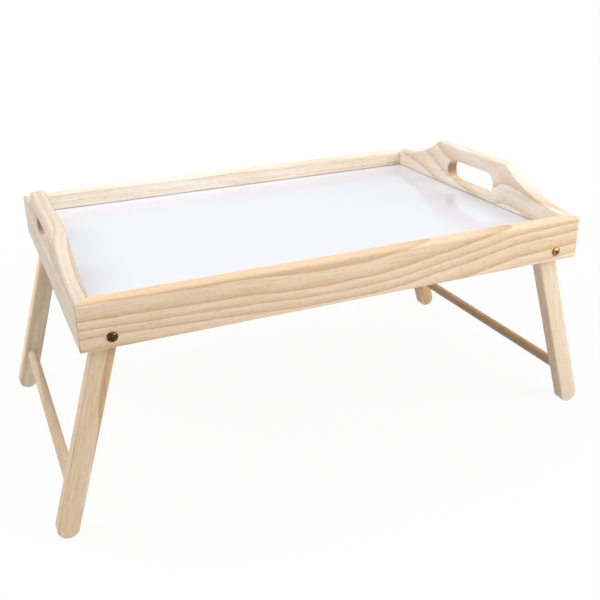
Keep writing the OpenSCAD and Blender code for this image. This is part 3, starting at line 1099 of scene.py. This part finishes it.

# %% [markdown]
# The four legs are one stick, cut in four. A leg or an end board shows only a ring or two, so
# their years are drawn broader than most trees grow them. Each leg's tones are set to how
# light or dark it looks where it stands, so the differences between the four are painted
# light and shade, not the wood. The dowels are turned from straight grain.

# %% Legs and dowels in their trunks
LEG_RUN = ((0, -8), (50, -6), (85, -4), (114, -2.5), (135, 0.5), (157, 2.5), (190, 3.5))
LEG_RUN += ((227, 4.5), (302, 4.5), (317, 2.5), (332, -1.5), (357, -3), (400, -2), (440, 1))
LEG_RUN += ((500, 4), (560, 2), (620, -1), (700, 2), (760, 4), (820, 1), (880, 0))
# Per-leg tones: painted light and shade, set to how bright each leg looks where it stands
LEG_TONES_LIT_AND_SHADED = {
    "front_left_leg": ("#e5cfb0", "#c29661"),
    "back_left_leg": ("#fff2dc", "#dcb27c"),
    "front_right_leg": ("#f3e5d0", "#d0a269"),
    "back_right_leg": ("#d3bb98", "#c89c66"),
}
DOWEL_YEARS = (5, 4, 5, 6, 5)
leg_turn = 90 + LEG_SPLAY
for node, turn, middle, years, winters, bold in (
    ("front_left_leg", (0, 180 - leg_turn, 1), (110, 10, 34.5), (30, 46, 30), 8, 1.0),
    ("back_left_leg", (0, 180 - leg_turn, -1), (330, 8, -29.5), (30, 26, 30), 7, 0.6),
    ("front_right_leg", (0, leg_turn, 1), (550, 9, 20), (30, 26, 30), 5, 0.3),
    ("back_right_leg", (0, leg_turn, 2), (770, 8, 24), (30, 26, 30), 3, 1.0),
):
    pine(legs[node], turn, middle, years, winters, LEG_TONES_LIT_AND_SHADED[node], bold, LEG_RUN)
pine(dowel, (0, 0, -90), (700, 6, 14), DOWEL_YEARS, 11, ("#d3b693", "#c0945f"), 0.7)
pine(left_dowel, (0, 0, -89), (790, 9, 12), DOWEL_YEARS, 12, ("#d9ccb6", "#c89c66"), 0.5)

# %% [markdown]
# ### White melamine laminate
#
# White paper soaked in melamine resin is pressed onto the hardboard between polished
# plates. It is a cool white with a clear, low gloss, and its face follows the plates' faint
# orange peel, here 3 mm from dimple to dimple. The gloss gives the soft mirror image of
# the handle.

# %% Melamine, pressed smooth
PEEL = 3.0
CLOUD = 90.0
melamine, tree, shader = new_finish("pressed_white_melamine")
place = add_node(tree, "ShaderNodeTexCoord").outputs["Object"]
peel = add_node(tree, NOISE, {"Vector": place, "Scale": 1 / (PEEL * MM), "Detail": 1.0})
cloud = add_node(tree, NOISE, {"Vector": place, "Scale": 1 / (CLOUD * MM), "Detail": 2.0})
paper = add_node(
    tree,
    BLEND,
    {0: cloud, 6: chart_colour("#dfe1e9"), 7: chart_colour("#e2e4ec")},
    data_type="RGBA",
)
gloss = add_node(tree, RANGE, (cloud, 0.3, 0.7, 0.07, 0.10))
bump = add_node(tree, "ShaderNodeBump", {"Height": peel, "Strength": 0.08, "Distance": 0.02 * MM})
feed(tree, shader, {"Base Color": paper, "Roughness": gloss, "Normal": bump})
coat(frame["nodes"]["floor_laminate"], melamine)
print(melamine.name, "has", PEEL, "mm from dimple to dimple")

# %% [markdown]
# ### Hardboard
#
# Hardboard is wood fibre pressed hot on a wire screen, so its back is brown, mottled and
# covered with the screen's fine weave. The weave is 1.2 mm from wire to wire. A wave texture
# of scale 1 has a band every pi / 10 of a metre.

# %% Hardboard with its screen back
SCREEN = 1.2
FIBRE_CLUMP = 2.0
MOTTLING = 35.0
WAVE_BAND = math.pi / 10
hardboard, tree, shader = new_finish("screen_backed_hardboard")
place = add_node(tree, "ShaderNodeTexCoord").outputs["Object"]
fibre = add_node(tree, NOISE, {"Vector": place, "Scale": 1 / (FIBRE_CLUMP * MM), "Detail": 5.0})
mottle = add_node(tree, NOISE, {"Vector": place, "Scale": 1 / (MOTTLING * MM), "Detail": 3.0})
brown = add_node(
    tree,
    BLEND,
    {0: mottle, 6: chart_colour("#7d5733"), 7: chart_colour("#99714a")},
    data_type="RGBA",
)
pale_fibre = add_node(tree, RANGE, (fibre, 0.5, 0.8, 0.0, 0.5))
brown = add_node(
    tree, BLEND, {0: pale_fibre, 6: brown, 7: chart_colour("#b48e63")}, data_type="RGBA"
)
wires = [
    add_node(
        tree,
        "ShaderNodeTexWave",
        {"Vector": place, "Scale": WAVE_BAND / (SCREEN * MM)},
        bands_direction=direction,
    ).outputs["Fac"]
    for direction in ("X", "Y")
]
weave = add_node(tree, MATHS, wires, operation="MULTIPLY")
bump = add_node(tree, "ShaderNodeBump", {"Height": weave, "Strength": 0.6, "Distance": 0.15 * MM})
feed(tree, shader, {"Base Color": brown, "Roughness": 0.72, "Normal": bump})
coat(frame["nodes"]["hardboard_floor"], hardboard)
print(hardboard.name, "has", SCREEN, "mm from wire to wire")

# %% [markdown]
# ### Antique brass
#
# The screws are brass-plated steel that was blackened and then rubbed. The metal shows
# through the dark film in worn spots and where the driver bites. The right-hand screws are
# given much more bare brass than the left-hand ones. A point is inside the recess when it
# lies deeper than the dome's surface.

# %% Antique brass on the screws
FILM_SPOT = 1.1
PATINA = chart_colour("#3b2a17")
BRASS = chart_colour("#c49a5a")


def antique_brass(piece, centre, worn):
    """Dark film on brass, with bare brass showing by a share worn. centre is the dome's, in mm."""
    finish, tree, shader = new_finish("antique_brass_" + piece.name)
    place = add_node(tree, "ShaderNodeTexCoord").outputs["Object"]
    dome = add_node(
        tree,
        "ShaderNodeMapping",
        {"Vector": place, "Location": -Vector(centre), "Scale": (1 / MM,) * 3},
    )
    depth = add_node(tree, VECTORS, (dome,), operation="LENGTH")
    bitten = add_node(tree, RANGE, (depth, DOME_R - 0.35, DOME_R - 0.05, 0.3 + 0.5 * worn, 0.0))
    film = add_node(tree, NOISE, {"Vector": place, "Scale": 1 / (FILM_SPOT * MM), "Detail": 4.0})
    rubbed = add_node(tree, RANGE, (film, 0.62 - 0.32 * worn, 0.74 - 0.18 * worn, 0.0, 0.9))
    shine = add_node(tree, MATHS, (bitten, rubbed), operation="MAXIMUM")
    metal = add_node(tree, BLEND, {0: shine, 6: PATINA, 7: BRASS}, data_type="RGBA")
    gloss = add_node(tree, RANGE, (shine, 0.0, 1.0, 0.42, 0.24))
    feed(tree, shader, {"Base Color": metal, "Roughness": gloss, "Metallic": 1.0})
    coat(piece, finish)
    print(finish.name, "is worn by", worn)


# The right-hand screws are given much more bare brass than the left-hand ones
for node, piece in screws.items():
    sx = 1 if "right" in node else -1
    sy = 1 if "back" in node else -1
    antique_brass(piece, (sx * PIVOT_X, sy * DOME_Y, PIVOT_Z), worn=0.9 if sx > 0 else 0.2)

# %% [markdown]
# ### Zinc-plated steel
#
# Washers and V-nails come bright from a zinc bath: a cool grey metal with a slightly cloudy
# shine, its crystals about 2 mm across.

# %% Zinc on the washers and V-nails
CRYSTAL = 2.0
zinc, tree, shader = new_finish("bright_zinc_plate")
place = add_node(tree, "ShaderNodeTexCoord").outputs["Object"]
crystals = add_node(tree, "ShaderNodeTexVoronoi", {"Vector": place, "Scale": 1 / (CRYSTAL * MM)})
grey = add_node(
    tree,
    BLEND,
    {0: crystals.outputs["Color"], 6: chart_colour("#a9adb1"), 7: chart_colour("#c3c6c9")},
    data_type="RGBA",
)
cloudy = add_node(tree, RANGE, (crystals, 0.0, 0.8, 0.28, 0.4))
feed(tree, shader, {"Base Color": grey, "Roughness": cloudy, "Metallic": 1.0})
for piece in (*washers.values(), frame["nodes"]["corner_v_nails"]):
    coat(piece, zinc)
print(zinc.name, "has crystals", CRYSTAL, "mm across")

# %% [markdown]
# ## The studio
#
# The tray stands on a white sheet. The sheet is white paper to the light, so it keeps the
# tray's shadow. To the camera and to shiny surfaces it also glows, which takes it to the
# pure white of a catalogue page, fully so from a metre out, where no shadow falls. The
# surroundings do the same, and give little light.

# %% White sheet and white surroundings
WHITE = (1.0, 1.0, 1.0, 1.0)
SHEET_SIZE = 30
SHEET_GLOW = 0.94
SHADOW_REACH = 0.3
SHEET_FADE = 1.0
AMBIENT = 0.12


def seen_directly(tree):
    """1 for what the camera, a shiny surface or clear glass looks at, and 0 for the light."""
    path = add_node(tree, "ShaderNodeLightPath")
    shiny = add_node(
        tree,
        MATHS,
        (path.outputs["Is Glossy Ray"], path.outputs["Is Transmission Ray"]),
        operation="MAXIMUM",
    )
    return add_node(tree, MATHS, (path.outputs["Is Camera Ray"], shiny), operation="MAXIMUM")


bpy.ops.object.select_all(action="DESELECT")
bpy.ops.mesh.primitive_plane_add(size=SHEET_SIZE)
sheet = bpy.context.object
sheet.name = "white_sheet"
paper, tree, shader = new_finish("matt_white_paper")
feed(tree, shader, {"Base Color": chart_colour("#f4f4f4"), "Roughness": 0.9})
glow = add_node(tree, "ShaderNodeEmission", {"Color": WHITE, "Strength": 1.0})
place = add_node(tree, "ShaderNodeTexCoord").outputs["Object"]
away = add_node(tree, VECTORS, (place,), operation="LENGTH")
faded = add_node(tree, RANGE, (away, SHADOW_REACH, SHEET_FADE, SHEET_GLOW, 1.0))
glow_share = add_node(tree, MATHS, (seen_directly(tree), faded), operation="MULTIPLY")
both = add_node(tree, "ShaderNodeMixShader", (glow_share, shader, glow))
feed(tree, tree.nodes["Material Output"], {"Surface": both})
coat(sheet, paper)

world = bpy.data.worlds.new("white_surroundings")
bpy.context.scene.world = world
world.use_nodes = True
tree = world.node_tree
tree.nodes.clear()
strength = add_node(
    tree, MATHS, (seen_directly(tree), 1 - AMBIENT, AMBIENT), operation="MULTIPLY_ADD"
)
light = add_node(tree, "ShaderNodeBackground", {"Color": WHITE, "Strength": strength})
add_node(tree, "ShaderNodeOutputWorld", {"Surface": light})
print("the sheet is", SHEET_SIZE, "m wide, and the surroundings light it at", AMBIENT)

# %% [markdown]
# Six soft boxes stand round the tray. The biggest hangs overhead. Of the two on the left, the
# high one shines over the left handle onto the right one's inner face, and the far one
# opens up whatever looks left. The three in front stand to the right, the smallest of them
# close by, so that the front rail fades a little towards the left. Their watts add up to a
# plain level, at which a colour shows about as it is written.

# %% Soft boxes
TRAY_MIDDLE = Vector((0, 0, 0.15))


def soft_box(name, place, size, watts):
    """A square area lamp at a place in metres, turned to the middle of the tray."""
    lamp = bpy.data.lights.new(name, "AREA")
    lamp.shape = "SQUARE"
    lamp.size = size
    lamp.energy = watts
    stand = bpy.data.objects.new(name, lamp)
    bpy.context.scene.collection.objects.link(stand)
    stand.location = place
    stand.rotation_euler = (TRAY_MIDDLE - Vector(place)).to_track_quat("-Z", "Y").to_euler()
    print(name, "is", size, "m wide and gives", watts, "W")


soft_box("top_box", (0.1, 0.2, 2.2), 2.0, 18.3)
soft_box("high_left_box", (-0.7, 0.1, 1.3), 0.9, 7.4)
soft_box("left_box", (-2.0, 0.3, 1.2), 1.6, 12.8)
soft_box("front_box", (0.7, -1.8, 1.5), 1.2, 12.0)
soft_box("right_box", (1.6, -1.3, 1.3), 1.2, 10.0)
soft_box("near_right_box", (0.95, -0.95, 0.8), 0.7, 5.8)

# %% [markdown]
# ## Camera
#
# The view is from the front left and above, with a slightly long lens: 49 mm on a 36 mm
# wide frame. Its three directions were solved from the tray's corners, so they are written
# as such and not as angles.

# %% Set up the camera
CAMERA_PLACE = (-0.31598, -0.77834, 0.48080)
LENS = 48.775
FRAME_WIDTH = 36.0
RIGHT = Vector((0.915848, -0.401025, -0.020047))
UP = Vector((0.176186, 0.356502, 0.917532))
LOOK = Vector((0.360807, 0.843851, -0.397157))
eye = bpy.data.cameras.new("catalogue_view")
eye.lens = LENS
eye.sensor_width = FRAME_WIDTH
camera = bpy.data.objects.new("catalogue_view", eye)
bpy.context.scene.collection.objects.link(camera)
camera.location = CAMERA_PLACE
camera.rotation_euler = Matrix((RIGHT, UP, -LOOK)).transposed().to_euler()
bpy.context.scene.camera = camera
bpy.context.scene.view_settings.view_transform = "Standard"
print("the camera is at", CAMERA_PLACE, "m with a", LENS, "mm lens")
